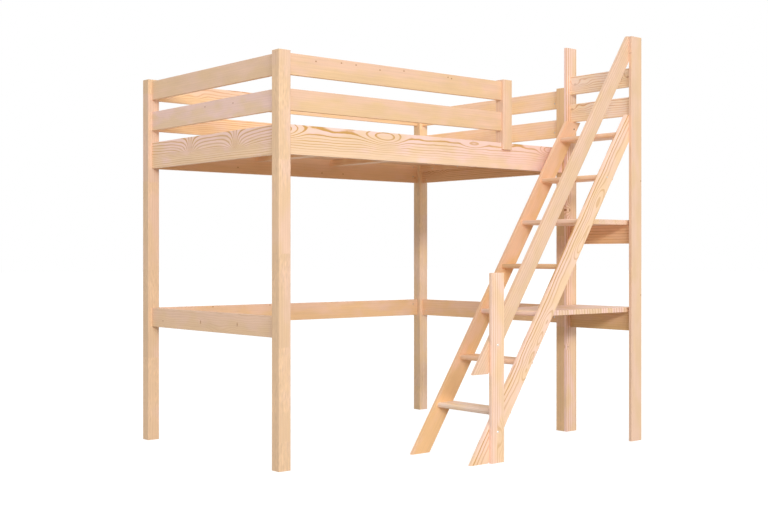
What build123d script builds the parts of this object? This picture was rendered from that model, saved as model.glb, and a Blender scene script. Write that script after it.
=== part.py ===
from build123d import *
from collections import defaultdict, namedtuple
from math import radians, sin, tan
import os

# A loft bed of planed pine: four posts, a deck carried high between them, guard rails
# round it, low rails round the open space below, and a steep stair with a handrail
# whose third and fifth treads run on as shelves.
# Millimetres. X runs along the long front side, Y from the front to the back, Z up.
# The origin is the centre of the rectangle that the bed and its stair cover on the floor.

os.makedirs("parts", exist_ok=True)

# Bed frame
bed_length = 2008
bed_width = 1272
post_width = 66  # along the bed
post_depth = 57  # across the bed
post_height = 1928
rail_thickness = 19
rail_height = 100
deck_rail_height = 138
deck_rail_drop = 338  # from the post tops down to the deck rails
low_rail_top = 706
guard_drop = 10  # from the post tops down to the top guard rails
guard_pitch = 164  # from one guard rail down to the next
long_rail_setback = 15  # front and back rails, behind the posts' outer faces
end_rail_setback = 23.5  # rails of the two ends, behind the posts' outer faces
edge_radius = 2  # on every planed edge

# Guard post beside the entry, forked over the front deck rail
entry_width = 419
guard_post_lip = 36  # how far its front prong reaches down over the rail
guard_post_leg = 100  # how far its back prong reaches down behind the rail
fork_clearance = 0.3
guard_post_screw_shares = (0.25, 0.75)  # of the way down the back prong

# Deck
deck_drop = 11  # from the top of the deck rails down to the deck
deck_board_count = 9
deck_board_width = 100
deck_board_thickness = 19
deck_end_gap = 2
beam_width = 70
beam_height = 35
beam_pitch = 537
beam_shoulder = 8  # round the stub tenon
tenon_length = 9
tenon_clearance = 0.3
cleat_thickness = 22
cleat_height = 35

# Stair
stair_reach = 472  # how far the stair stands out in front of the bed
stair_angle = 56.5
stair_board_thickness = 19
stair_board_width = 84  # stair posts, newel and handrail
stair_post_drop = 2.74  # from where the handrail's middle meets theirs down to their tops
newel_height = 904
newel_setback = 120  # behind the front toe of the stringers
stringer_width = 98
stringer_overhang = 13  # tip of the stringers past the stair posts
stringer_over_tread = 94  # top of the stringers above the last tread
handrail_lead = 265  # how far the handrail runs ahead of the stringers, level
handrail_foot = 424
tread_count = 7
first_tread_top = 245
last_tread_lift = 50  # top of the last tread above the deck rails
tread_thickness = 25
tread_depth = 120
tread_setback = 8  # nose behind the stringers' upper edge
tread_nose_radius = 10
shelf_treads = {3: "shelf_lower", 5: "shelf_upper"}
stair_guard_gap_shares = (0.3032, 0.1742)  # of the open height over the last tread: below, between

# Hanger bolts and barrel nuts that pull the rails up to the posts
fit_clearance = 0.2
bolt_radius = 3
bolt_in_post = 35
bolt_in_rail = 45
bolt_chamfer = 0.8
nut_radius = 5
nut_length = 14
nut_inset = 35  # barrel nut's axis behind the rail's end
nut_chamfer = 0.6
bore_spare = 1  # depth of a bore past its fastener's end
rail_bolt_offset = 20  # single bolt, off the rail's middle, with a dowel at the other side
deck_bolt_offset_long = 30
deck_bolt_offset_end = 52

# Dowels
dowel_radius = 4
dowel_length = 30
dowel_chamfer = 1
tread_dowel_pitch = 56
cross_rail_dowel_pitch = 50
shelf_dowel_pitch = 200

# Countersunk wood screws
screw_length = 35
screw_radius = 2.25
screw_head_radius = 4.5
screw_tip_length = 4
screw_tip_radius = 0.4
deck_screw_pitch = 60
cleat_screw_count = 5
cleat_screw_end_distance = 120
cleat_screw_height_share = 1 / 3
stringer_screw_drop = 40
handrail_screw_drop = 37
tied_tread = 6

# Round-headed bolts
head_radius = 6
head_height = 3
dome_point_shares = (0.55, 0.74)  # of the head's radius and height, at a point on its dome
newel_bolt_drop = 8  # under the middle of the board that it crosses
cap_nut_radius = 5.5
cap_nut_height = 6
cap_nut_rounding = 2
cap_nut_sides = 6
cap_nut_depth = 3  # how far its bolt reaches into it
stair_post_bolt_length = 70
stair_post_bolt_share = 0.35  # of the way up from the low rails to the deck rails

overrun = 1  # of every cut past the face that it opens

# Outer faces of the bed, of its posts and of the stair
overall_length = bed_length - post_width + stair_board_width + stringer_overhang
overall_width = bed_width + stair_reach + head_height
left = -overall_length / 2
right = left + bed_length
front = -overall_width / 2 + head_height + stair_reach
back = front + bed_width
inner_left = left + post_width
inner_right = right - post_width
inner_front = front + post_depth
inner_back = back - post_depth

# Rails: name, the ranges that they fill, the way they run and the way their inner face looks
Rail = namedtuple("Rail", "name x y z along inside")
Board = namedtuple("Board", "x y z")
along_x = Vector(1, 0, 0)
along_y = Vector(0, 1, 0)
up = Vector(0, 0, 1)
front_faces = (front + long_rail_setback, front + long_rail_setback + rail_thickness)
back_faces = (back - long_rail_setback - rail_thickness, back - long_rail_setback)
left_faces = (left + end_rail_setback, left + end_rail_setback + rail_thickness)
right_faces = (right - end_rail_setback - rail_thickness, right - end_rail_setback)
entry_left = inner_right - entry_width
guard_post_left = entry_left - post_width


def level(top, height=rail_height):
    """The heights of a rail's lower and upper edge."""
    return (top - height, top)


def front_rail(name, heights, end=inner_right):
    return Rail(name, (inner_left, end), front_faces, heights, along_x, along_y)


def back_rail(name, heights):
    return Rail(name, (inner_left, inner_right), back_faces, heights, along_x, -along_y)


def left_rail(name, heights):
    return Rail(name, left_faces, (inner_front, inner_back), heights, along_y, along_x)


def right_rail(name, heights):
    return Rail(name, right_faces, (inner_front, inner_back), heights, along_y, -along_x)


deck_rail_top = post_height - deck_rail_drop
deck_level = level(deck_rail_top, deck_rail_height)
low_level = level(low_rail_top)
guard_levels = {
    "top": level(post_height - guard_drop),
    "middle": level(post_height - guard_drop - guard_pitch),
}
deck_rails = [
    front_rail("deck_rail_front", deck_level),
    back_rail("deck_rail_back", deck_level),
    left_rail("deck_rail_left", deck_level),
    right_rail("deck_rail_right", deck_level),
]
low_rails = [
    back_rail("low_rail_back", low_level),
    left_rail("low_rail_left", low_level),
    right_rail("low_rail_right", low_level),
]
guard_rails = []
for place, heights in guard_levels.items():
    guard_rails.append(front_rail(f"guard_rail_front_{place}", heights, guard_post_left))
    guard_rails.append(back_rail(f"guard_rail_back_{place}", heights))
    guard_rails.append(left_rail(f"guard_rail_left_{place}", heights))
    guard_rails.append(right_rail(f"guard_rail_right_{place}", heights))

# Posts: the plan that each one fills
posts = {
    "post_front_left": ((left, inner_left), (front, inner_front)),
    "post_front_right": ((inner_right, right), (front, inner_front)),
    "post_back_left": ((left, inner_left), (inner_back, back)),
    "post_back_right": ((inner_right, right), (inner_back, back)),
}


def posts_of(rail):
    """The posts at the low and the high end of a rail."""
    if rail.along == along_x:
        row = "front" if rail.inside == along_y else "back"
        far_post = "guard_post" if rail.x[1] == guard_post_left else f"post_{row}_right"
        return (f"post_{row}_left", far_post)
    column = "left" if rail.inside == along_x else "right"
    return (f"post_front_{column}", f"post_back_{column}")


# Deck: boards along the bed, on two cross beams and a cleat at each end
deck_top = deck_rail_top - deck_drop
deck_underside = deck_top - deck_board_thickness
beam_level = level(deck_underside, beam_height)
cleat_level = level(deck_underside, cleat_height)
deck_front = front_faces[1]
deck_back = back_faces[0]
middle_x = (left + right) / 2
beams = {
    "deck_beam_left": middle_x - beam_pitch / 2,
    "deck_beam_right": middle_x + beam_pitch / 2,
}
cleats = {
    "end_cleat_left": (left_faces[1], left_faces[1] + cleat_thickness),
    "end_cleat_right": (right_faces[0] - cleat_thickness, right_faces[0]),
}
deck_gap = (deck_back - deck_front - deck_board_count * deck_board_width) / (deck_board_count + 1)
deck_boards = {}
for index in range(deck_board_count):
    board_front = deck_front + deck_gap + index * (deck_gap + deck_board_width)
    deck_boards[f"deck_board_{index + 1}"] = Board(
        (left_faces[1] + deck_end_gap, right_faces[0] - deck_end_gap),
        (board_front, board_front + deck_board_width),
        level(deck_top, deck_board_thickness),
    )

# Stair: two planes of boards, one against the bed's front right post and one out in front
slope = tan(radians(stair_angle))
stair_slope = Axis((0, 0, 0), (1, 0, slope))
stretch = 1 / sin(radians(stair_angle))  # level width of a sloping board, per unit of its width
stair_left = inner_right
stair_right = stair_left + stair_board_width
stair_middle = (stair_left + stair_right) / 2
stair_front = front - stair_reach
inner_post_faces = (front - stair_board_thickness, front)
outer_post_faces = (stair_front, stair_front + stair_board_thickness)
inner_stringer_faces = (inner_post_faces[0] - stair_board_thickness, inner_post_faces[0])
outer_stringer_faces = (outer_post_faces[1], outer_post_faces[1] + stair_board_thickness)
tread_ends = (outer_stringer_faces[1], inner_stringer_faces[0])
last_tread_top = deck_rail_top + last_tread_lift
tread_rise = (last_tread_top - first_tread_top) / (tread_count - 1)
stringer_top = last_tread_top + stringer_over_tread


def stringer_back(z):
    """Where the stringers' lower edge is at a height."""
    return stair_right + stringer_overhang - (stringer_top - z) / slope


def stringer_front(z):
    """Where the stringers' upper edge is at a height."""
    return stringer_back(z) - stringer_width * stretch


def handrail_front(z):
    """Where the handrail's upper edge is at a height."""
    return stringer_front(z) - handrail_lead


def handrail_back(z):
    return handrail_front(z) + stair_board_width * stretch


def handrail_middle_height(x):
    """The height of the handrail's middle at a place along the bed."""
    return (x - (handrail_front(0) + handrail_back(0)) / 2) * slope


def tread_top(number):
    return first_tread_top + (number - 1) * tread_rise


def tread_nose(number):
    return stringer_front(tread_top(number)) + tread_setback


def tread_joint(number):
    """The middle of a tread's end where the stringer covers it."""
    z = tread_top(number) - tread_thickness / 2
    return (tread_nose(number) + stringer_back(z)) / 2, z


stair_post_height = handrail_middle_height(stair_middle) - stair_post_drop
newel_left = stringer_front(0) + newel_setback
newel_middle = newel_left + stair_board_width / 2
cross_rail_faces = (stair_middle - rail_thickness / 2, stair_middle + rail_thickness / 2)
cross_rail_ends = (outer_post_faces[1], inner_post_faces[0])
open_height = stair_post_height - last_tread_top - 2 * rail_height
middle_guard_top = last_tread_top + open_height * stair_guard_gap_shares[0] + rail_height
top_guard_top = middle_guard_top + open_height * stair_guard_gap_shares[1] + rail_height
cross_rails = {
    "stair_guard_rail_top": level(top_guard_top),
    "stair_guard_rail_middle": level(middle_guard_top),
}
for number, shelf in shelf_treads.items():
    cross_rails[f"{shelf}_rail"] = level(tread_top(number) - tread_thickness)

# Fasteners: the plane of each one, pointing the way it is driven, and the bores that it needs
fasteners = defaultdict(list)
bores = defaultdict(list)


def fasten(node, plane, *pieces):
    """Places one fastener of a node and gives its bore to the pieces that it enters."""
    fasteners[node].append(plane)
    for piece in pieces:
        bores[piece].append((node, plane))


def bolt_rail(rail, bolt_heights, dowel_heights):
    """Bolts and dowels for both ends of a rail, at heights off its middle."""
    middle = Vector(sum(rail.x) / 2, sum(rail.y) / 2, sum(rail.z) / 2)
    length = (rail.x[1] - rail.x[0]) if rail.along == along_x else (rail.y[1] - rail.y[0])
    for way, post in zip((-1, 1), posts_of(rail)):
        end = middle + rail.along * (way * length / 2)
        inward = rail.along * -way
        for height in bolt_heights:
            start = end + up * height
            nut_place = start + inward * nut_inset + rail.inside * (rail_thickness / 2)
            fasten("rail_bolts", Plane(start, z_dir=inward), rail.name, post)
            fasten("barrel_nuts", Plane(nut_place, x_dir=inward, z_dir=-rail.inside), rail.name)
        for height in dowel_heights:
            fasten("dowels", Plane(end + up * height, z_dir=inward), rail.name, post)


for rail in deck_rails:
    offset = deck_bolt_offset_long if rail.along == along_x else deck_bolt_offset_end
    bolt_rail(rail, (-offset, offset), ())
for rail in guard_rails + low_rails:
    offset = rail_bolt_offset if rail.along == along_x else -rail_bolt_offset
    bolt_rail(rail, (offset,), (-offset,))

# Screws down through each deck board, into every beam and cleat below it
supports = dict(beams)
for name, faces in cleats.items():
    supports[name] = sum(faces) / 2
for name, board in deck_boards.items():
    for support, x in supports.items():
        for side in (-1, 1):
            y = sum(board.y) / 2 + side * deck_screw_pitch / 2
            fasten("deck_screws", Plane((x, y, deck_top), z_dir=-up), name, support)

# Screws through the cleats into the end deck rails
cleat_screw_span = inner_back - inner_front - 2 * cleat_screw_end_distance
for index in range(cleat_screw_count):
    y = inner_front + cleat_screw_end_distance + index * cleat_screw_span / (cleat_screw_count - 1)
    z = cleat_level[0] + cleat_height * cleat_screw_height_share
    left_plane = Plane((cleats["end_cleat_left"][1], y, z), z_dir=-along_x)
    right_plane = Plane((cleats["end_cleat_right"][0], y, z), z_dir=along_x)
    fasten("cleat_screws", left_plane, "end_cleat_left", "deck_rail_left")
    fasten("cleat_screws", right_plane, "end_cleat_right", "deck_rail_right")

# Stub tenons of the beams, in the front and back deck rails
for name, x in beams.items():
    z = sum(beam_level) / 2
    bores["deck_rail_front"].append(("mortises", Plane((x, deck_front, z), x_dir=along_x, z_dir=-along_y)))
    bores["deck_rail_back"].append(("mortises", Plane((x, deck_back, z), x_dir=along_x, z_dir=along_y)))

# Screws from inside, through the guard post's back prong into the front deck rail
for share in guard_post_screw_shares:
    z = deck_rail_top - guard_post_leg * share
    place = (guard_post_left + post_width / 2, inner_front, z)
    fasten("guard_post_screws", Plane(place, z_dir=-along_y), "guard_post", "deck_rail_front")

# Dowels in both ends of each tread and shelf
for number in range(1, tread_count + 1):
    name = shelf_treads.get(number, f"tread_{number}")
    x, z = tread_joint(number)
    for side in (-1, 1):
        place = x + side * tread_dowel_pitch / 2
        outer = Plane((place, tread_ends[0], z), z_dir=along_y)
        inner = Plane((place, tread_ends[1], z), z_dir=along_y)
        fasten("dowels", outer, name, "stringer_outer")
        fasten("dowels", inner, name, "stringer_inner")

# Dowels at the ends of the cross rails, and upright ones between each shelf and its rail
for name, heights in cross_rails.items():
    for side in (-1, 1):
        z = sum(heights) / 2 + side * cross_rail_dowel_pitch / 2
        outer = Plane((stair_middle, cross_rail_ends[0], z), z_dir=along_y)
        inner = Plane((stair_middle, cross_rail_ends[1], z), z_dir=along_y)
        fasten("dowels", outer, name, "stair_post_outer")
        fasten("dowels", inner, name, "stair_post_inner")
for shelf in shelf_treads.values():
    for side in (-1, 1):
        y = sum(cross_rail_ends) / 2 + side * shelf_dowel_pitch / 2
        place = (stair_middle, y, cross_rails[f"{shelf}_rail"][1])
        fasten("dowels", Plane(place, z_dir=up), shelf, f"{shelf}_rail")

# Screws that hold the stringers and the handrail to the stair posts and tie one tread
stringer_screw_z = stringer_top - stringer_screw_drop
handrail_screw_z = stair_post_height - handrail_screw_drop
inner_place = (stair_middle, inner_stringer_faces[0], stringer_screw_z)
outer_place = (stair_middle, outer_stringer_faces[1], stringer_screw_z)
handrail_place = (stair_middle, outer_stringer_faces[1], handrail_screw_z)
fasten("stair_screws", Plane(inner_place, z_dir=along_y), "stringer_inner", "stair_post_inner")
fasten("stair_screws", Plane(outer_place, z_dir=-along_y), "stringer_outer", "stair_post_outer")
fasten("stair_screws", Plane(handrail_place, z_dir=-along_y), "handrail", "stair_post_outer")
tie_x, tie_z = tread_joint(tied_tread)
outer_tie = Plane((tie_x, outer_stringer_faces[0], tie_z), z_dir=along_y)
inner_tie = Plane((tie_x, inner_stringer_faces[1], tie_z), z_dir=-along_y)
fasten("stair_screws", outer_tie, "stringer_outer", f"tread_{tied_tread}")
fasten("stair_screws", inner_tie, "stringer_inner", f"tread_{tied_tread}")

# Round-headed bolts through the newel, each with a cap nut behind the board that it crosses
crossings = {
    "stringer_outer": (stringer_front(0) + stringer_back(0)) / 2,
    "handrail": (handrail_front(0) + handrail_back(0)) / 2,
}
for board, foot in crossings.items():
    z = (newel_middle - foot) * slope - newel_bolt_drop
    fasten("newel_bolts", Plane((newel_middle, stair_front, z), z_dir=along_y), "newel_post", board)
    fasteners["newel_nuts"].append(Plane((newel_middle, outer_stringer_faces[1], z), z_dir=along_y))

# Bolts from behind the front right post into the stair post on its front
stair_post_bolt_heights = (
    low_level[0] / 2,
    low_level[1] + (deck_level[0] - low_level[1]) * stair_post_bolt_share,
    (guard_levels["top"][0] + guard_levels["middle"][1]) / 2,
)
for z in stair_post_bolt_heights:
    plane = Plane(((inner_right + right) / 2, inner_front, z), z_dir=-along_y)
    fasten("stair_post_bolts", plane, "post_front_right", "stair_post_inner")


# Forms of the fasteners, each on the XY plane and driven along +Z, and of their bores
def round_bar(radius, low, high, end_chamfer=0):
    """A round bar along Z between two heights, with chamfered ends."""
    with BuildPart() as bar:
        with BuildSketch(Plane.XY.offset(low)):
            Circle(radius)
        extrude(amount=high - low)
        if end_chamfer:
            chamfer(bar.edges().filter_by(GeomType.CIRCLE), length=end_chamfer)
    return bar


def barrel_nut():
    """A short bar across the rail with a hole for the bolt."""
    low = (rail_thickness - nut_length) / 2
    with BuildPart() as nut:
        add(round_bar(nut_radius, low, low + nut_length, nut_chamfer).part)
        with BuildSketch(Plane.YZ.offset(-nut_radius - overrun)):
            with Locations((0, rail_thickness / 2)):
                Circle(bolt_radius + fit_clearance)
        extrude(amount=2 * (nut_radius + overrun), mode=Mode.SUBTRACT)
    return nut


def countersunk_screw(spare=0):
    """A wood screw with its flat head level with the plane, or the room that it needs."""
    head = screw_head_radius + spare
    shank = screw_radius + spare
    tip = screw_tip_radius + spare
    end = screw_length + spare
    with BuildPart() as screw:
        with BuildSketch(Plane.XZ):
            with BuildLine():
                Polyline(
                    (0, 0),
                    (head, 0),
                    (shank, head - shank),
                    (shank, end - screw_tip_length),
                    (tip, end),
                    (0, end),
                    close=True,
                )
            make_face()
        revolve(axis=Axis.Z)
    return screw


def countersunk_bore():
    """The room for a wood screw, open past the plane."""
    with BuildPart() as bore:
        add(countersunk_screw(fit_clearance).part)
        add(round_bar(screw_head_radius + fit_clearance, -overrun, 0).part)
    return bore


def round_headed_bolt(length, end_chamfer=bolt_chamfer):
    """A bolt whose low dome stands proud of the plane."""
    dome_point = (head_radius * dome_point_shares[0], -head_height * dome_point_shares[1])
    with BuildPart() as bolt:
        add(round_bar(bolt_radius, 0, length, end_chamfer).part)
        with BuildSketch(Plane.XZ):
            with BuildLine():
                ThreePointArc((0, -head_height), dome_point, (head_radius, 0))
                Line((head_radius, 0), (0, 0))
                Line((0, 0), (0, -head_height))
            make_face()
        revolve(axis=Axis.Z)
    return bolt


def cap_nut():
    with BuildPart() as nut:
        with BuildSketch():
            RegularPolygon(cap_nut_radius, cap_nut_sides)
        extrude(amount=cap_nut_height)
        fillet(nut.faces().sort_by(Axis.Z)[-1].edges(), radius=cap_nut_rounding)
        with BuildSketch():
            Circle(bolt_radius + fit_clearance)
        extrude(amount=cap_nut_depth, mode=Mode.SUBTRACT)
    return nut


def mortise():
    """A square-cornered pocket for a beam's stub tenon."""
    with BuildPart() as pocket:
        with BuildSketch(Plane.XY.offset(-overrun)):
            Rectangle(
                beam_width - 2 * beam_shoulder + 2 * tenon_clearance,
                beam_height - 2 * beam_shoulder + 2 * tenon_clearance,
            )
        extrude(amount=overrun + tenon_length + tenon_clearance)
    return pocket


newel_bolt_length = 2 * stair_board_thickness + cap_nut_depth - fit_clearance
bolt_bore_radius = bolt_radius + fit_clearance
screw = countersunk_screw()
screw_bore = countersunk_bore()
forms = {
    "rail_bolts": round_bar(bolt_radius, -bolt_in_post, bolt_in_rail, bolt_chamfer),
    "barrel_nuts": barrel_nut(),
    "dowels": round_bar(dowel_radius, -dowel_length / 2, dowel_length / 2, dowel_chamfer),
    "deck_screws": screw,
    "cleat_screws": screw,
    "stair_screws": screw,
    "guard_post_screws": screw,
    "newel_bolts": round_headed_bolt(newel_bolt_length),
    "newel_nuts": cap_nut(),
    "stair_post_bolts": round_headed_bolt(stair_post_bolt_length),
}
nut_bore_depth = (rail_thickness + nut_length) / 2 + fit_clearance
dowel_bore_reach = dowel_length / 2 + bore_spare
bore_forms = {
    "rail_bolts": round_bar(bolt_bore_radius, -bolt_in_post - bore_spare, bolt_in_rail + bore_spare),
    "barrel_nuts": round_bar(nut_radius + fit_clearance, -overrun, nut_bore_depth),
    "dowels": round_bar(dowel_radius + fit_clearance, -dowel_bore_reach, dowel_bore_reach),
    "deck_screws": screw_bore,
    "cleat_screws": screw_bore,
    "stair_screws": screw_bore,
    "guard_post_screws": screw_bore,
    "newel_bolts": round_bar(bolt_bore_radius, -overrun, newel_bolt_length + overrun),
    "stair_post_bolts": round_bar(bolt_bore_radius, -overrun, stair_post_bolt_length + bore_spare),
    "mortises": mortise(),
}


def cut_bores(name):
    """Cuts a piece's bores out of the part that is being built."""
    for node, plane in bores[name]:
        with Locations(plane):
            add(bore_forms[node].part, mode=Mode.SUBTRACT)


def keep(piece, name):
    """Labels a finished piece and writes it out."""
    piece.part.label = name
    export_step(piece.part, f"parts/{name}.step")


def square_board(name, x, y, z, eased_axis, ease_top=False):
    """A planed board or post that fills three ranges, with its long edges eased."""
    with BuildPart() as board:
        with BuildSketch(Plane((x[0], y[0], z[0]))):
            Rectangle(x[1] - x[0], y[1] - y[0], align=(Align.MIN, Align.MIN))
        extrude(amount=z[1] - z[0])
        eased = board.edges().filter_by(eased_axis)
        if ease_top:
            eased += board.faces().sort_by(Axis.Z)[-1].edges()
        fillet(eased, radius=edge_radius)
        cut_bores(name)
    keep(board, name)


def sloping_board(name, faces, outline):
    """A board on the slope of the stair, cut level at both ends."""
    with BuildPart() as board:
        with BuildSketch(Plane.XZ.offset(-faces[0])):
            with BuildLine():
                Polyline(*outline, close=True)
            make_face()
        extrude(amount=faces[0] - faces[1])
        fillet(board.edges().filter_by(stair_slope), radius=edge_radius)
        cut_bores(name)
    keep(board, name)


def tread_board(name, number, depth):
    """A tread, or a tread that runs on as a shelf, with a rounded nose."""
    with BuildPart() as tread:
        with BuildSketch(Plane.XZ.offset(-tread_ends[0])):
            with Locations((tread_nose(number), tread_top(number))):
                Rectangle(depth, tread_thickness, align=(Align.MIN, Align.MAX))
            fillet(vertices().group_by(Axis.X)[0], radius=tread_nose_radius)
            fillet(vertices().group_by(Axis.X)[-1], radius=edge_radius)
        extrude(amount=tread_ends[0] - tread_ends[1])
        cut_bores(name)
    keep(tread, name)


# Posts of the bed and boards of the stair that stand upright
for name, (x, y) in posts.items():
    square_board(name, x, y, (0, post_height), Axis.Z, ease_top=True)
stair_posts_x = (stair_left, stair_right)
newel_x = (newel_left, newel_left + stair_board_width)
square_board("stair_post_inner", stair_posts_x, inner_post_faces, (0, stair_post_height), Axis.Z, True)
square_board("stair_post_outer", stair_posts_x, outer_post_faces, (0, stair_post_height), Axis.Z, True)
square_board("newel_post", newel_x, outer_post_faces, (0, newel_height), Axis.Z, True)

# Rails of the bed
for rail in deck_rails + guard_rails + low_rails:
    square_board(rail.name, rail.x, rail.y, rail.z, Axis.X if rail.along == along_x else Axis.Y)

# Guard post, forked over the front deck rail
with BuildPart() as guard_post:
    with BuildSketch(Plane((guard_post_left, front, deck_rail_top - guard_post_leg))):
        Rectangle(post_width, post_depth, align=(Align.MIN, Align.MIN))
    extrude(amount=post_height - deck_rail_top + guard_post_leg)
    upright = guard_post.edges().filter_by(Axis.Z)
    fillet(upright + guard_post.faces().sort_by(Axis.Z)[-1].edges(), radius=edge_radius)
    slot_front = front_faces[0] - fork_clearance
    slot_back = front_faces[1] + fork_clearance
    lip_bottom = deck_rail_top - guard_post_lip
    leg_bottom = deck_rail_top - guard_post_leg
    with BuildSketch(Plane.YZ.offset(guard_post_left - overrun)):
        with BuildLine():
            Polyline(
                (front - overrun, leg_bottom - overrun),
                (slot_back, leg_bottom - overrun),
                (slot_back, deck_rail_top),
                (slot_front, deck_rail_top),
                (slot_front, lip_bottom),
                (front - overrun, lip_bottom),
                close=True,
            )
        make_face()
    extrude(amount=post_width + 2 * overrun, mode=Mode.SUBTRACT)
    cut_bores("guard_post")
keep(guard_post, "guard_post")

# Deck: boards, end cleats, and beams with a stub tenon at each end
for name, board in deck_boards.items():
    square_board(name, board.x, board.y, board.z, Axis.X)
for name, faces in cleats.items():
    square_board(name, faces, (inner_front, inner_back), cleat_level, Axis.Y)
for name, x in beams.items():
    with BuildPart() as beam:
        with BuildSketch(Plane.XZ.offset(-deck_front)):
            with Locations((x, sum(beam_level) / 2)):
                Rectangle(beam_width, beam_height)
        extrude(amount=deck_front - deck_back)
        fillet(beam.edges().filter_by(Axis.Y), radius=edge_radius)
        with BuildSketch(Plane.XZ.offset(-deck_front + tenon_length)):
            with Locations((x, sum(beam_level) / 2)):
                Rectangle(beam_width - 2 * beam_shoulder, beam_height - 2 * beam_shoulder)
        extrude(amount=deck_front - deck_back - 2 * tenon_length)
        cut_bores(name)
    keep(beam, name)

# Stringers and handrail
stringer_outline = (
    (stringer_front(0), 0),
    (stringer_back(0), 0),
    (stringer_back(stringer_top), stringer_top),
    (stringer_front(stringer_top), stringer_top),
)
handrail_outline = (
    (handrail_front(handrail_foot), handrail_foot),
    (handrail_back(handrail_foot), handrail_foot),
    (handrail_back(stair_post_height), stair_post_height),
    (handrail_front(stair_post_height), stair_post_height),
)
sloping_board("stringer_inner", inner_stringer_faces, stringer_outline)
sloping_board("stringer_outer", outer_stringer_faces, stringer_outline)
sloping_board("handrail", outer_stringer_faces, handrail_outline)

# Treads and shelves
for number in range(1, tread_count + 1):
    if number in shelf_treads:
        tread_board(shelf_treads[number], number, stair_right - tread_nose(number))
    else:
        tread_board(f"tread_{number}", number, tread_depth)

# Cross rails between the two stair posts
for name, heights in cross_rails.items():
    square_board(name, cross_rail_faces, cross_rail_ends, heights, Axis.Y)

# Fasteners, each kind as one group of separate solids
for node, planes in fasteners.items():
    with BuildPart() as group:
        with Locations(*planes):
            add(forms[node].part)
    keep(group, node)
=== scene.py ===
from math import cos, pi, radians, sin
from typing import NamedTuple

import bpy
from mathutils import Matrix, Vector


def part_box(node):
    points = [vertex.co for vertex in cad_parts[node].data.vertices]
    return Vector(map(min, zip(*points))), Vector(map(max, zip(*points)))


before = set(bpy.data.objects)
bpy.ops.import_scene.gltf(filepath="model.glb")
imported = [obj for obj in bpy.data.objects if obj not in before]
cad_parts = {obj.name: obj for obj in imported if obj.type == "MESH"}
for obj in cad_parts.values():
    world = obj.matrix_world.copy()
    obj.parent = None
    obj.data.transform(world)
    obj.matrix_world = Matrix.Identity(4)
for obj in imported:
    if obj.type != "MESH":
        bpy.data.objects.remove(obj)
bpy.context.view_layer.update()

# A loft bed of planed pine. Every board gets its own wood, worked out from growth rings
# round a pith that lies behind the board, so the grain runs on over faces, edges and ends.
# Metres. X runs along the long front side, Y from the front to the back, Z up.

RIGHT = Vector((1, 0, 0))
BACK = Vector((0, 1, 0))
UP = Vector((0, 0, 1))
LEFT = -RIGHT
FRONT = -BACK
DOWN = -UP
STAIR_ANGLE = radians(56.5)
UP_STAIR = Vector((cos(STAIR_ANGLE), 0, sin(STAIR_ANGLE)))

WHITE = (1, 1, 1, 1)
FINE = 3.0  # detail of a fine noise


class Value:
    """What a node gives at every point: a number, a vector, a colour or a shader."""

    def __init__(self, tree, socket):
        self.tree = tree
        self.socket = socket

    def __add__(self, other):
        return self.tree.math("ADD", self, other)

    def __sub__(self, other):
        return self.tree.math("SUBTRACT", self, other)

    def __mul__(self, other):
        return self.tree.math("MULTIPLY", self, other)

    def __truediv__(self, other):
        return self.tree.math("DIVIDE", self, other)

    def root(self):
        return self.tree.math("SQRT", self)

    def size(self):
        return self.tree.math("ABSOLUTE", self)

    def whole(self):
        return self.tree.math("FLOOR", self)

    def part(self):
        return self.tree.math("FRACT", self)

    def most(self, other):
        return self.tree.math("MAXIMUM", self, other)

    def rise(self, low, high, bottom=0.0, top=1.0):
        """Goes smoothly from bottom to top while the number goes from low to high."""
        return self.tree.value("ShaderNodeMapRange", (self, low, high, bottom, top),
                               interpolation_type="SMOOTHSTEP")


class Tree:
    """The nodes of a material or of the world."""

    def __init__(self, owner):
        owner.use_nodes = True
        self.tree = owner.node_tree
        self.tree.nodes.clear()

    def node(self, kind, inputs=(), **settings):
        """Adds a node. Its inputs, in order or by name, are set or linked to values."""
        node = self.tree.nodes.new(kind)
        for name, setting in settings.items():
            setattr(node, name, setting)
        by_key = inputs.items() if isinstance(inputs, dict) else enumerate(inputs)
        for key, given in by_key:
            if isinstance(given, Value):
                self.tree.links.new(given.socket, node.inputs[key])
            else:
                node.inputs[key].default_value = given
        return node

    def value(self, kind, inputs=(), output=0, **settings):
        """Adds a node and returns what one of its outputs gives."""
        return Value(self, self.node(kind, inputs, **settings).outputs[output])

    def math(self, operation, *numbers):
        return self.value("ShaderNodeMath", numbers, operation=operation)

    def dot(self, vector, direction):
        return self.value("ShaderNodeVectorMath", (vector, direction), "Value",
                          operation="DOT_PRODUCT")

    def place(self):
        """The point's own place in the object's frame."""
        return self.value("ShaderNodeTexCoord", output="Object")

    def facing(self):
        """The way in which the surface faces."""
        return self.value("ShaderNodeNewGeometry", output="True Normal")

    def noise(self, vector, scale=1.0, detail=2.0, roughness=0.5):
        """Smooth noise between about -1 and 1."""
        inputs = {"Vector": vector, "Scale": scale, "Detail": detail, "Roughness": roughness}
        return self.value("ShaderNodeTexNoise", inputs) * 2 - 1

    def chance(self, number):
        """A random number from 0 to 1 for each whole number."""
        return self.value("ShaderNodeTexWhiteNoise", {"W": number}, "Value",
                          noise_dimensions="1D")

    def mix(self, share, low, high):
        """A colour between two colours."""
        inputs = {0: share, 6: low, 7: high}  # the ones for colours, whose names aren't unique
        return self.value("ShaderNodeMix", inputs, 2, data_type="RGBA")

    def tint(self, hue, brightness):
        """A colour with its brightness multiplied."""
        inputs = {"Vector": hue, "Scale": brightness}
        return self.value("ShaderNodeVectorMath", inputs, operation="SCALE")

    def bump(self, height, distance):
        """The way in which the surface faces when its height varies up to a distance."""
        inputs = {"Height": height, "Distance": distance, "Strength": 1.0}
        return self.value("ShaderNodeBump", inputs)


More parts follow.
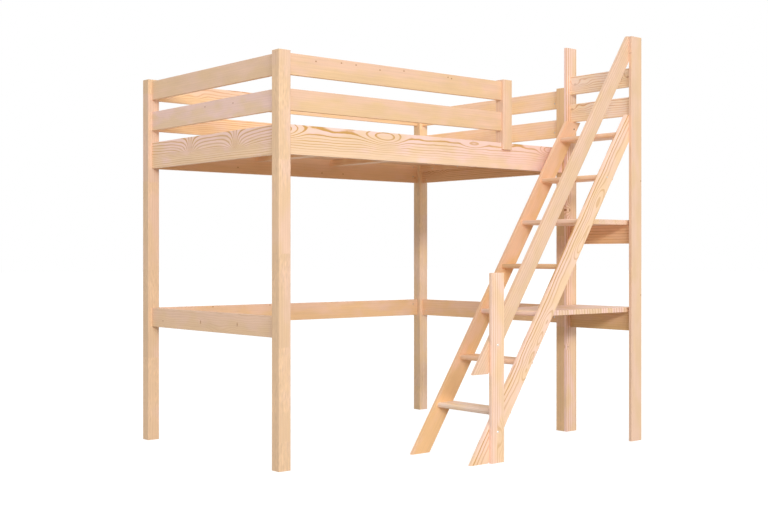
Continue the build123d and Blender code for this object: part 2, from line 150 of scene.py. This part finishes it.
def new_material(name):
    """A material without nodes, and its tree."""
    material = bpy.data.materials.new(name)
    return material, Tree(material)


def finish_tree(tree, inputs):
    """Ends a material's tree with its surface."""
    surface = tree.value("ShaderNodeBsdfPrincipled", inputs)
    tree.node("ShaderNodeOutputMaterial", {"Surface": surface})


def colour(red, green, blue):
    """A colour written from 0 to 255, as it looks on a screen, for a shader's socket."""
    def linear(level):
        share = level / 255
        return share / 12.92 if share <= 0.04045 else ((share + 0.055) / 1.055) ** 2.4
    return (linear(red), linear(green), linear(blue), 1.0)


class Tone(NamedTuple):
    """Colours of the wood."""

    yellow: tuple  # early wood where it is yellow
    pink: tuple  # and where it is pink
    line: tuple  # the dark lines that end the rings


TONES = {
    "pale": Tone(colour(235, 201, 164), colour(239, 204, 178), colour(206, 156, 102)),
    "buff": Tone(colour(236, 200, 156), colour(241, 202, 173), colour(208, 158, 100)),
    "rosy": Tone(colour(246, 213, 179), colour(252, 217, 204), colour(211, 161, 90)),
    "cream": Tone(colour(248, 213, 174), colour(252, 217, 196), colour(206, 154, 80)),
    "blush": Tone(colour(255, 227, 190), colour(255, 231, 212), colour(216, 160, 106)),
    "warm": Tone(colour(252, 218, 173), colour(254, 221, 193), colour(222, 162, 104)),
    "orange": Tone(colour(244, 203, 155), colour(248, 208, 178), colour(222, 166, 108)),
    "amber": Tone(colour(246, 201, 148), colour(252, 209, 174), colour(222, 166, 108)),
    "brown": Tone(colour(234, 194, 140), colour(238, 196, 154), colour(200, 148, 92)),
    "tan": Tone(colour(240, 197, 150), colour(243, 200, 162), colour(196, 138, 84)),
}
KNOT_COLOUR = colour(170, 112, 62)


class Cut(NamedTuple):
    """How a board lay in its trunk."""

    spacing: float  # of the rings
    depth: float  # of the pith behind the board's middle
    side: float  # place of the pith across the board
    wander: float  # how far the rings wander
    bend_along: float  # how often they do, in a metre along the board
    bend_across: float  # and across it
    figure: float  # how strongly the ring lines show
    line: float  # share of a ring that its line takes


CUTS = {
    "bold": Cut(0.0104, 0.040, 0.062, 0.009, 4.2, 7.0, 0.88, 0.46),
    "arched": Cut(0.0108, 0.030, 0.115, 0.006, 3.6, 9.0, 1.0, 0.50),
    "wavy": Cut(0.0120, 0.030, 0.100, 0.010, 4.0, 9.0, 0.85, 0.46),
    "plain": Cut(0.0095, 0.060, 0.090, 0.009, 1.4, 6.0, 0.28, 0.50),
    "rippled": Cut(0.0085, 0.045, 0.075, 0.010, 4.6, 9.0, 0.34, 0.48),
    "faint": Cut(0.0090, 0.070, 0.120, 0.009, 1.3, 7.0, 0.12, 0.50),
    "smooth": Cut(0.0110, 0.070, 0.060, 0.010, 1.1, 5.0, 0.12, 0.60),
    "streaked": Cut(0.0150, 0.040, -0.034, 0.012, 4.5, 6.0, 1.0, 0.54),
    "lined": Cut(0.0125, 0.030, 0.120, 0.006, 1.3, 6.0, 0.42, 0.45),
    "straight": Cut(0.0150, 0.030, 0.130, 0.008, 1.0, 6.0, 0.60, 0.50),
    "striped": Cut(0.0140, 0.030, 0.1115, 0.005, 1.4, 6.0, 0.90, 0.50),
    "upright": Cut(0.0190, 0.010, 0.100, 0.006, 1.0, 5.0, 0.30, 0.50),
}


# Places on a board count from its middle: along its grain, and across it, which is upwards
# on rails and stringers and to the left on upright boards and treads
class Knot(NamedTuple):
    """A knot or an eye in the rings."""

    along: float
    across: float
    radius: float
    pull: float  # how far it pulls the rings
    stretch: float = 1.0  # how much longer than wide it is
    core: float = 0.0  # how dark its core is


class Fan(NamedTuple):
    """A knot over a board's edge, towards which the rings run down and together."""

    along: float
    across: float  # where the rings meet
    top: float  # the height at which they are undisturbed
    reach: float  # how fast they straighten beside it


class Traits(NamedTuple):
    """What else sets a board apart."""

    knots: tuple = ()
    fans: tuple = ()
    stave: float = 0.0  # width of its glued staves
    block: float = 0.0  # length of its glued blocks
    joint: float = 0.0  # shift of the joints between them
    flecks: float = 0.0  # strength of its flecks
    fade: float = 4.0  # how much stronger the ring lines get in a metre across
    weaken: float = 0.0  # how much weaker they get in a metre along
    shade: float = 1.0  # brightness
    heart: float = 0.0  # painted shade: how much darker the face is on the side to which across points
    redden: tuple = (0.0, 5.0)  # how much pinker it gets in a metre along and across


CORE_INSIDE = 0.10  # shares of a knot's radius between which its dark core fades out
CORE_OUTSIDE = 0.22
FAN_DEPTH = 0.020  # below the place where the rings of a fan meet, they begin to bend
FAN_SWAY = 0.02  # how far a fan's middle follows the wandering rings
BOARD_SHIFT = 7.31  # between the noise of two boards, and of two fields of one board
LOT_SHIFT = 9  # at most, between the noise of two staves or blocks
BLOCK_SHIFT = 0.37  # of a block's length, between the joints of two posts
FINGER_PITCH = 0.006  # of the finger joints between blocks
FINGER_LENGTH = 0.016
SIDE_SHADE_EDGE = (0.004, 0.001)  # distances from the edge between which the painted shade of that side face begins

LINE_PEAK = 0.4  # share of its width before the ring's end at which a line is full
LINE_END = 0.95  # where in the ring it ends, sharply
FLAT_LINE = 0.7  # share of its width where the ring is cut flat
FAINTEST_LINE = 0.5  # the least of the strengths that are drawn for the rings
LINE_STRENGTH = 0.85  # in the middle of the board
END_FIGURE = 0.7  # how strongly the lines show on end grain
END_GRAIN = (0.6, 0.9)  # how far a face turns along the grain where it becomes end grain
RIPPLE_IN_RING = 0.07  # share of a ring by which small waves shift it
PINK_FROM, PINK_TO = -0.30, 0.35  # in the noise, between yellow and pink
LOT_PINK = 0.9  # the range over which the pinkness of staves or blocks differs
LOT_LIGHT = 0.06  # and that of their brightness
LOT_SEEDS = (2.3, 3.7)  # for the two


class Field(NamedTuple):
    """A noise in the wood."""

    along: float  # how often it changes in a metre along the board
    across: float  # and across it
    detail: float = 2.0
    roughness: float = 0.5
    light: float = 0.0  # how much it lightens the wood


RIPPLE = Field(22, 90)
FIBRE = Field(14, 700, FINE, 0.6, 0.05)
STREAK = Field(2.2, 100, FINE, 0.6, 0.09)
PATCH = Field(4.0, 12, FINE, 0.6, 0.08)
PINKNESS = Field(6.0, 14)
FLECK = Field(34, 130, 1.0)
FLECKED_FROM, FLECKED_TO = -0.2, 0.3  # in the patches

END_LIGHT = -0.03  # how much lighter end grain is
WOOD_ROUGHNESS = 0.52
FIBRE_ROUGHNESS = 0.06
LINE_ROUGHNESS = -0.05
END_ROUGHNESS = 0.12
WOOD_REFRACTION = 1.5
WOOD_GLOSS = 0.35
LINE_RELIEF = 0.5
FIBRE_RELIEF = 0.35
WOOD_RELIEF = 0.0004


def pine(name, seed, along, normal, cut, tone, traits):
    """The wood of one board: along is the way of its grain, normal that of its broad face."""
    material, tree = new_material(name)
    low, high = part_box(name)
    middle = (low + high) / 2
    across = normal.cross(along)
    place = tree.place()
    u = tree.dot(place, along) - middle.dot(along)
    v = tree.dot(place, across) - middle.dot(across)
    w = tree.dot(place, normal) - middle.dot(normal)

    shift = seed * BOARD_SHIFT
    offset = shift
    lot = None  # the number of the stave or block
    if traits.stave:
        stave = v / traits.stave + 0.5
        lot = stave.whole()
        v = (stave.part() - 0.5) * traits.stave
    if traits.block:
        finger = ((v / FINGER_PITCH).part() - 0.5).size() * FINGER_LENGTH
        lot = ((u + finger - traits.joint) / traits.block + seed * BLOCK_SHIFT).whole()
    if lot is not None:
        offset = tree.chance(lot + shift) * LOT_SHIFT + shift

    def noise(field, start):
        vector = tree.value("ShaderNodeCombineXYZ",
                            (u * field.along + start, v * field.across, w * field.across))
        return tree.noise(vector, detail=field.detail, roughness=field.roughness)

    # Rings round a pith that wanders behind the board, pulled aside by knots
    bend = Field(cut.bend_along, cut.bend_across)
    sway = noise(bend, offset)
    aside = v - cut.side + sway * cut.wander
    depth = w + cut.depth + noise(bend, offset + BOARD_SHIFT) * cut.wander
    radius = (aside * aside + depth * depth).root()
    core = None
    for knot in traits.knots:
        du = (u - knot.along) / knot.stretch
        dv = v - knot.across
        distance = (du * du + dv * dv).root()
        radius = radius - distance.rise(0, knot.radius, knot.pull, 0)
        if knot.core:
            inside, outside = knot.radius * CORE_INSIDE, knot.radius * CORE_OUTSIDE
            spot = distance.rise(inside, outside, knot.core, 0)
            core = spot if core is None else core.most(spot)
    for fan in traits.fans:
        dip = v.rise(fan.across - FAN_DEPTH, fan.across) * (v * -1 + fan.top)
        beside = (u - fan.along + sway * FAN_SWAY).size()
        radius = radius - dip / (beside / fan.reach + 1)

    # The dark line that ends each ring
    ring = radius / cut.spacing + noise(RIPPLE, offset) * RIPPLE_IN_RING
    part = ring.part()
    steep = (aside / radius).size() * (1 - FLAT_LINE) + FLAT_LINE
    before_end = steep * -cut.line
    line = (part.rise(before_end + 1, before_end * LINE_PEAK + 1)
            * part.rise(LINE_END, 1.0, 1.0, 0.0))
    strength = tree.chance(ring.whole() + shift) * (1 - FAINTEST_LINE) + FAINTEST_LINE
    fading = v * traits.fade - u * traits.weaken + LINE_STRENGTH
    line = line * strength * fading.most(0.0)

    # Colour
    fibre = noise(FIBRE, offset)
    patch = noise(PATCH, offset)
    pink = noise(PINKNESS, offset * -1)
    pink = pink + u * traits.redden[0] + v * traits.redden[1]
    if lot is not None:
        pink = pink + tree.chance(lot * LOT_SEEDS[0] - shift) * LOT_PINK - LOT_PINK / 2
    wood = tree.mix(pink.rise(PINK_FROM, PINK_TO), tone.yellow, tone.pink)
    end = tree.dot(tree.facing(), along).size().rise(*END_GRAIN)
    wood = tree.mix(line * (end * (END_FIGURE - cut.figure) + cut.figure), wood, tone.line)
    if core is not None:
        wood = tree.mix(core, wood, KNOT_COLOUR)

    # Brightness
    light = fibre * FIBRE.light + noise(STREAK, offset) * STREAK.light
    light = light + patch * PATCH.light + traits.shade
    if lot is not None:
        light = light + tree.chance(lot * LOT_SEEDS[1] + shift) * LOT_LIGHT - LOT_LIGHT / 2
    if traits.flecks:
        flecked = patch.rise(FLECKED_FROM, FLECKED_TO)
        light = light + noise(FLECK, offset) * flecked * traits.flecks
    # Painted shade: darker on the face to which across points
    if traits.heart:
        edge = abs((high - low).dot(across)) / 2
        light = light * v.rise(edge - SIDE_SHADE_EDGE[0], edge - SIDE_SHADE_EDGE[1], 1.0,
                               1.0 - traits.heart)
    light = light * (end * END_LIGHT + 1.0)

    rough = fibre * FIBRE_ROUGHNESS + line * LINE_ROUGHNESS + end * END_ROUGHNESS
    finish_tree(tree, {
        "Base Color": tree.tint(wood, light),
        "Roughness": rough + WOOD_ROUGHNESS,
        "IOR": WOOD_REFRACTION,
        "Specular IOR Level": WOOD_GLOSS,
        "Normal": tree.bump(line * LINE_RELIEF + fibre * FIBRE_RELIEF, WOOD_RELIEF),
    })
    return material


PLATE_DARK, PLATE_LIGHT = colour(206, 205, 202), colour(232, 230, 224)
# dark brown of the painted shade on the steel
PLATE_PAINTED_SHADE = colour(126, 84, 54)
PLATE_MOTTLE_SCALE = 260
PLATE_MOTTLE = (-0.5, 0.5)  # between dark and light
PLATE_WEAR_SCALE = 1400
PLATE_ROUGHNESS = 0.34
PLATE_WEAR_ROUGHNESS = 0.08
PLATE_RELIEF = 0.0001
PAINTED_SHADE_EDGE = 0.01  # width over which the painted shade begins


def steel(name, shade_from=None):
    """Zinc-plated steel, a little mottled, and dark brown with painted shade behind a place
    across the bed.
    """
    material, tree = new_material(name)
    place = tree.place()
    mottle = tree.noise(place, PLATE_MOTTLE_SCALE, FINE)
    wear = tree.noise(place, PLATE_WEAR_SCALE)
    plate = tree.mix(mottle.rise(*PLATE_MOTTLE), PLATE_DARK, PLATE_LIGHT)
    # Painted shade: dark brown behind a place across the bed
    if shade_from is not None:
        painted_shade = tree.dot(place, BACK).rise(shade_from, shade_from + PAINTED_SHADE_EDGE)
        plate = tree.mix(painted_shade, plate, PLATE_PAINTED_SHADE)
    finish_tree(tree, {
        "Base Color": plate,
        "Metallic": 1.0,
        "Roughness": wear * PLATE_WEAR_ROUGHNESS + PLATE_ROUGHNESS,
        "Normal": tree.bump(wear, PLATE_RELIEF),
    })
    return material


BEECH_LIGHT, BEECH_DARK = colour(226, 186, 146), colour(190, 140, 100)
BEECH_FLECK_SCALE = 500
BEECH_FLECK = (-0.3, 0.6)  # between light and dark
BEECH_ROUGHNESS = 0.55
BEECH_FLECK_ROUGHNESS = 0.08
BEECH_RELIEF = 0.0002


def beech(name):
    """Beech of the dowels, with fine dark flecks."""
    material, tree = new_material(name)
    fleck = tree.noise(tree.place(), BEECH_FLECK_SCALE, FINE)
    finish_tree(tree, {
        "Base Color": tree.mix(fleck.rise(*BEECH_FLECK), BEECH_LIGHT, BEECH_DARK),
        "Roughness": fleck * BEECH_FLECK_ROUGHNESS + BEECH_ROUGHNESS,
        "Normal": tree.bump(fleck, BEECH_RELIEF),
    })
    return material


def finish_node(node, material):
    """Gives a CAD node its material."""
    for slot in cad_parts[node].material_slots:
        slot.link = "DATA"
        slot.material = material


def pin(along, across):
    """A small knot as dark as its core."""
    return Knot(along, across, radius=0.022, pull=0.003, stretch=1.2, core=0.8)


POST = Traits(flecks=0.22, redden=(0.0, -9.0))

# Boards: node, way of the grain, way of the broad face that shows, cut, tone, traits
BOARDS = [
    ("post_front_left", UP, FRONT, "plain", "pale",
     POST._replace(block=0.43, joint=-0.237, shade=0.985)),
    ("post_front_right", UP, FRONT, "plain", "buff", POST._replace(block=0.51, shade=0.98)),
    # The back posts get painted shade on their left faces
    ("post_back_left", UP, FRONT, "plain", "pale", POST._replace(block=0.47, heart=0.05)),
    ("post_back_right", UP, FRONT, "plain", "warm", POST._replace(block=0.55, heart=0.20)),
    ("guard_post", UP, FRONT, "plain", "pale", Traits()),
    ("deck_rail_front", RIGHT, FRONT, "bold", "rosy", Traits(
        knots=(Knot(-0.358, 0.040, 0.070, 0.030, 2.7), Knot(-0.985, 0.040, 0.072, 0.034, 2.4),
               Knot(0.249, 0.046, 0.040, 0.012, 3.0), Knot(0.830, 0.044, 0.060, 0.024, 1.8)),
        fade=13.0, weaken=0.4, shade=0.98, redden=(0.4, 5.0))),
    ("deck_rail_left", FRONT, LEFT, "arched", "rosy", Traits(
        fans=(Fan(-0.190, 0.003, 0.098, 0.028), Fan(0.232, -0.010, 0.098, 0.030)), fade=3.0)),
    ("deck_rail_back", RIGHT, FRONT, "smooth", "tan", Traits(
        knots=(pin(-0.422, -0.035), pin(0.174, -0.040), pin(0.334, -0.039),
               pin(0.918, -0.038)),
        shade=0.97)),
    ("deck_rail_right", FRONT, LEFT, "arched", "tan", Traits(
        knots=(Knot(-0.440, -0.006, 0.060, 0.026, 1.8),), shade=0.94)),
    ("guard_rail_front_top", RIGHT, FRONT, "faint", "buff", Traits(
        knots=(pin(-0.540, 0.026), pin(-0.389, 0.034), pin(-0.300, 0.034), pin(-0.150, 0.025),
               pin(0.005, 0.036), pin(0.305, 0.034), pin(0.330, 0.030)),
        shade=0.98)),
    ("guard_rail_front_middle", RIGHT, FRONT, "faint", "buff", Traits(shade=0.975)),
    ("guard_rail_back_top", RIGHT, FRONT, "bold", "warm", Traits(
        knots=(Knot(-0.810, -0.016, 0.050, 0.020, 2.0),
               Knot(-0.700, -0.010, 0.040, 0.014, 2.2)),
        shade=0.96)),
    ("guard_rail_back_middle", RIGHT, FRONT, "arched", "warm", Traits()),
    ("guard_rail_left_top", FRONT, LEFT, "faint", "pale", Traits()),
    ("guard_rail_left_middle", FRONT, LEFT, "faint", "rosy", Traits(
        knots=(pin(-0.041, 0.025), pin(0.216, 0.019)), shade=0.93)),
    ("guard_rail_right_top", FRONT, LEFT, "plain", "warm", Traits()),
    ("guard_rail_right_middle", FRONT, LEFT, "plain", "warm", Traits()),
    ("low_rail_back", RIGHT, FRONT, "faint", "orange", Traits(
        knots=(pin(-0.587, 0.044), pin(-0.203, 0.044)))),
    ("low_rail_left", FRONT, LEFT, "rippled", "pale", Traits(
        knots=(Knot(0.080, -0.066, 0.075, 0.026, 2.3),
               Knot(-0.083, -0.005, 0.060, 0.003, 0.35, 0.9),
               Knot(0.253, -0.002, 0.060, 0.003, 0.35, 0.9),
               pin(-0.580, -0.026), pin(-0.462, -0.015)))),
    ("low_rail_right", FRONT, LEFT, "plain", "orange", Traits()),
    ("deck_beam_left", BACK, DOWN, "plain", "tan", Traits()),
    ("deck_beam_right", BACK, DOWN, "plain", "tan", Traits()),
    ("end_cleat_left", BACK, RIGHT, "plain", "tan", Traits()),
    ("end_cleat_right", FRONT, LEFT, "plain", "tan", Traits()),
    ("stair_post_inner", UP, FRONT, "striped", "rosy", Traits(
        knots=(Knot(0.166, 0.015, 0.034, 0.036, 1.5, 0.8),
               Knot(0.166, 0.044, 0.034, 0.012, 1.2, 0.9),
               Knot(-0.600, 0.030, 0.026, 0.010, 1.0, 0.9)),
        shade=1.01)),
    ("stair_post_outer", UP, FRONT, "faint", "pale", Traits(
        knots=(Knot(0.986, 0.042, 0.012, 0.002, 1.0, 0.5),
               pin(0.309, -0.036), pin(-0.300, -0.036)))),
    ("newel_post", UP, FRONT, "straight", "cream", Traits(
        knots=(Knot(-0.330, -0.026, 0.040, 0.034, 2.6),))),
    ("stringer_inner", UP_STAIR, FRONT, "faint", "amber", Traits(redden=(0.26, 5.0))),
    ("stringer_outer", UP_STAIR, FRONT, "streaked", "cream", Traits(
        knots=(Knot(0.484, -0.014, 0.052, 0.028, 2.6), Knot(0.337, -0.024, 0.044, 0.020, 2.4),
               Knot(0.214, -0.026, 0.048, 0.028, 2.4), Knot(-0.236, -0.024, 0.044, 0.022, 2.4),
               Knot(-0.335, -0.028, 0.042, 0.026, 1.9), Knot(-0.428, -0.028, 0.038, 0.022, 1.9),
               Knot(-0.512, -0.028, 0.042, 0.022, 2.0)),
        fade=0.0)),
    ("handrail", UP_STAIR, FRONT, "lined", "pale", Traits()),
    # The first tread gets painted shade on its front face
    ("tread_1", BACK, UP, "plain", "blush", Traits(heart=0.08)),
    ("tread_2", BACK, UP, "plain", "orange", Traits()),
    ("tread_4", BACK, UP, "plain", "brown", Traits()),
    ("tread_6", BACK, UP, "plain", "orange", Traits()),
    ("tread_7", BACK, UP, "plain", "orange", Traits()),
    ("shelf_lower", BACK, UP, "upright", "rosy", Traits(stave=0.043)),
    ("shelf_upper", BACK, UP, "plain", "cream", Traits(stave=0.047)),
    ("shelf_lower_rail", FRONT, LEFT, "lined", "brown", Traits(shade=0.94)),
    ("shelf_upper_rail", FRONT, LEFT, "straight", "tan", Traits(shade=1.05)),
    ("stair_guard_rail_top", FRONT, LEFT, "wavy", "blush", Traits(
        knots=(Knot(-0.183, 0.005, 0.040, 0.028, 1.6, 0.3),
               Knot(-0.111, 0.001, 0.034, 0.016, 1.8),
               Knot(0.183, 0.004, 0.040, 0.026, 1.6, 0.3)))),
    ("stair_guard_rail_middle", FRONT, LEFT, "wavy", "blush", Traits(
        knots=(Knot(-0.205, 0.022, 0.040, 0.022, 1.6, 0.4),
               Knot(-0.120, 0.020, 0.036, 0.012, 1.8)))),
]
DECK_BOARD_COUNT = 9
for number in range(1, DECK_BOARD_COUNT + 1):
    BOARDS.append((f"deck_board_{number}", RIGHT, DOWN, "smooth", "tan", Traits(shade=0.97)))

for seed, (node, along, normal, cut, tone, traits) in enumerate(BOARDS, 1):
    finish_node(node, pine(node, seed, along, normal, CUTS[cut], TONES[tone], traits))

STEEL_NODES = ("rail_bolts", "barrel_nuts", "deck_screws", "cleat_screws", "guard_post_screws",
               "newel_bolts", "newel_nuts", "stair_post_bolts")
INNER_STRINGER_SCREWS_FROM = -0.70  # across the bed, in front of the inner stringer; the screws behind it get painted shade
plated = steel("zinc_plated_steel")
for node in STEEL_NODES:
    finish_node(node, plated)
finish_node("stair_screws", steel("stair_screw_steel_painted_shade", INNER_STRINGER_SCREWS_FROM))
finish_node("dowels", beech("beech"))


def background_rays(tree):
    """1 where the camera, a reflection or a clear body sees the background, else 0."""
    path = tree.node("ShaderNodeLightPath")
    seen = Value(tree, path.outputs["Is Camera Ray"])
    for name in ("Is Glossy Ray", "Is Transmission Ray"):
        seen = seen.most(Value(tree, path.outputs[name]))
    return seen


# Light: a white sky, brighter overhead, and a long low lamp in front on the left
SKY_STRENGTH = 0.165
SKY_OVERHEAD = 0.98
BACKDROP_STRENGTH = 1.0
LAMP_PLACE = Vector((-8.3, -15.9, 6.5))
LAMP_TARGET = Vector((0.2, 0.0, 1.0))
LAMP_WIDTH = 12.0
LAMP_HEIGHT = 1.6
LAMP_POWER = 2070

world = bpy.data.worlds.new("sky")
bpy.context.scene.world = world
tree = Tree(world)
way = tree.value("ShaderNodeTexCoord", output="Generated")
height = tree.value("ShaderNodeSeparateXYZ", (way,), "Z")
sky = tree.value("ShaderNodeBackground",
                 {"Color": WHITE, "Strength": height * SKY_OVERHEAD + SKY_STRENGTH})
backdrop = tree.value("ShaderNodeBackground",
                      {"Color": WHITE, "Strength": BACKDROP_STRENGTH})
choice = tree.value("ShaderNodeMixShader", (background_rays(tree), sky, backdrop))
tree.node("ShaderNodeOutputWorld", {"Surface": choice})

lamp = bpy.data.objects.new("lamp", bpy.data.lights.new("lamp", "AREA"))
lamp.data.shape = "RECTANGLE"
lamp.data.size = LAMP_WIDTH
lamp.data.size_y = LAMP_HEIGHT
lamp.data.energy = LAMP_POWER
lamp.location = LAMP_PLACE
lamp.rotation_mode = "QUATERNION"
lamp.rotation_quaternion = (LAMP_TARGET - LAMP_PLACE).to_track_quat("-Z", "Y")
bpy.context.scene.collection.objects.link(lamp)

# Floor: pale, and almost white to the camera, with the object's soft shadow
FLOOR_SIZE = 120
FLOOR_COLOUR = (0.51, 0.47, 0.44, 1)
FLOOR_SHADOW_COLOUR = (0.24, 0.24, 0.24, 1)  # the share of its white that the shadow takes
FLOOR_GLOW = 0.88

half = FLOOR_SIZE / 2
corners = [(-half, -half, 0), (half, -half, 0), (half, half, 0), (-half, half, 0)]
floor_mesh = bpy.data.meshes.new("floor")
floor_mesh.from_pydata(corners, [], [(0, 1, 2, 3)])
floor = bpy.data.objects.new("floor", floor_mesh)
bpy.context.scene.collection.objects.link(floor)
floor_material, tree = new_material("floor")
lit = tree.value("ShaderNodeBsdfDiffuse", {"Color": FLOOR_COLOUR})
shadowed = tree.value("ShaderNodeBsdfDiffuse", {"Color": FLOOR_SHADOW_COLOUR})
glow = tree.value("ShaderNodeEmission", {"Color": WHITE, "Strength": FLOOR_GLOW})
seen = tree.value("ShaderNodeAddShader", (shadowed, glow))
choice = tree.value("ShaderNodeMixShader", (background_rays(tree), lit, seen))
tree.node("ShaderNodeOutputMaterial", {"Surface": choice})
floor_mesh.materials.append(floor_material)

# Camera, level, at the photograph's place
CAMERA_PLACE = Vector((-4.0952, -4.8073, 0.9835))
CAMERA_TURN = 0.6982054  # from the way across the bed towards the way along it
FOCAL_PIXELS = 1177.2258
PHOTO_WIDTH = 768
SENSOR_WIDTH = 36

camera = bpy.data.objects.new("camera", bpy.data.cameras.new("camera"))
camera.data.sensor_fit = "HORIZONTAL"
camera.data.sensor_width = SENSOR_WIDTH
camera.data.lens = FOCAL_PIXELS * SENSOR_WIDTH / PHOTO_WIDTH
camera.location = CAMERA_PLACE
camera.rotation_euler = (pi / 2, 0, -CAMERA_TURN)
bpy.context.scene.collection.objects.link(camera)
bpy.context.scene.camera = camera

bpy.context.scene.view_settings.view_transform = "Standard"
